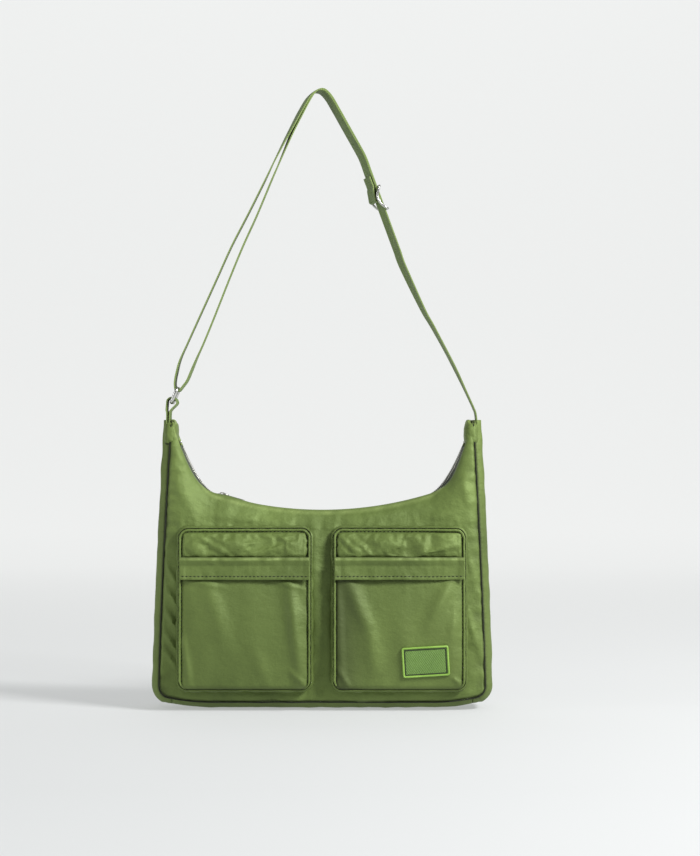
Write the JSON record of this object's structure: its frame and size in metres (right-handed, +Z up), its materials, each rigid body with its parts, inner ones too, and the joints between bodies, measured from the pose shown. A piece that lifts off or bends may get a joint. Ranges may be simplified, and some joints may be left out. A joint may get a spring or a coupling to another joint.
{
  "type": "crossbody purse",
  "caption": "Padded nylon crossbody bag with a dipped zip mouth between two horns, bellows patch pockets with flap bands and an adjustable webbing strap.",
  "frame": {"origin": "middle of the base's flat underside", "axes": "+X to the wearer's left of the front view (right as seen), +Y to the back, +Z up; the pockets face -Y"},
  "size_m": [0.339, 0.0878, 0.6178],
  "materials": {
    "shell_nylon": "satin woven nylon, padded",
    "lining_nylon": "plain woven nylon",
    "webbing": "flat woven webbing",
    "zip_tape": "matte woven tape",
    "zip_metal": "polished metal",
    "hardware_steel": "polished nickel",
    "hook_and_loop": "matte pile",
    "patch_rubber": "soft moulded rubber",
    "patch_rim": "soft moulded rubber"
  },
  "bodies": {
    "bag": {"back_panel": "shell_nylon", "base_gusset": "shell_nylon", "front_panel": "shell_nylon", "label_patch": "patch_rubber", "label_rim": "patch_rim", "left_gusset": "shell_nylon", "left_loop_tape": "hook_and_loop", "left_pocket_cover": "shell_nylon", "left_pocket_face": "shell_nylon", "left_pocket_ridge": "shell_nylon", "left_pocket_wall": "shell_nylon", "lining": "lining_nylon", "right_gusset": "shell_nylon", "right_loop_tape": "hook_and_loop", "right_pocket_cover": "shell_nylon", "right_pocket_face": "shell_nylon", "right_pocket_ridge": "shell_nylon", "right_pocket_wall": "shell_nylon", "zip_end_tab_left": "shell_nylon", "zip_end_tab_right": "shell_nylon", "zip_stop_left": "zip_metal", "zip_stop_right": "zip_metal", "zip_tape_back": "zip_tape", "zip_tape_front": "zip_tape", "zip_teeth_back": "zip_metal", "zip_teeth_front": "zip_metal"},
    "zip_slider": {"zip_slider": "zip_metal"},
    "zip_pull": {"zip_pull": "zip_metal"},
    "left_band": {"left_flap_band": "shell_nylon", "left_hook_tape": "hook_and_loop"},
    "right_band": {"right_flap_band": "shell_nylon", "right_hook_tape": "hook_and_loop"},
    "strap": {"shoulder_strap": "webbing", "tab_loop": "webbing"},
    "ring": {"strap_ring": "hardware_steel"},
    "adjuster": {"strap_adjuster": "hardware_steel", "strap_end_loop": "webbing"}
  },
  "joints": [
    {"name": "zip_travel", "type": "hinge", "parent": "bag", "child": "zip_slider", "pos_m": [0, 0, 0.56], "axis": [0, -1, 0], "range_deg": [0, 29]},
    {"name": "zip_pull_flip", "type": "hinge", "parent": "zip_slider", "child": "zip_pull", "pos_m": [-0.09893, 0, 0.21376], "axis": [0, -1, 0], "range_deg": [0, 120]},
    {"name": "left_band_lift", "type": "hinge", "parent": "bag", "child": "left_band", "pos_m": [-0.076, -0.0456, 0.1525], "axis": [-1, 0, 0], "range_deg": [0, 25]},
    {"name": "right_band_lift", "type": "hinge", "parent": "bag", "child": "right_band", "pos_m": [0.076, -0.0456, 0.1525], "axis": [-1, 0, 0], "range_deg": [0, 25]},
    {"name": "strap_swing", "type": "hinge", "parent": "bag", "child": "strap", "pos_m": [0, 0, 0.2936], "axis": [1, 0, 0], "range_deg": [-60, 60]},
    {"name": "ring_tilt", "type": "hinge", "parent": "strap", "child": "ring", "pos_m": [-0.1442, 0, 0.3185], "axis": [0, 1, 0], "range_deg": [-6, 6]},
    {"name": "adjuster_slide", "type": "slide", "parent": "strap", "child": "adjuster", "axis": [0.3445, 0, -0.9388], "range_m": [0, 0.06]}
  ]
}
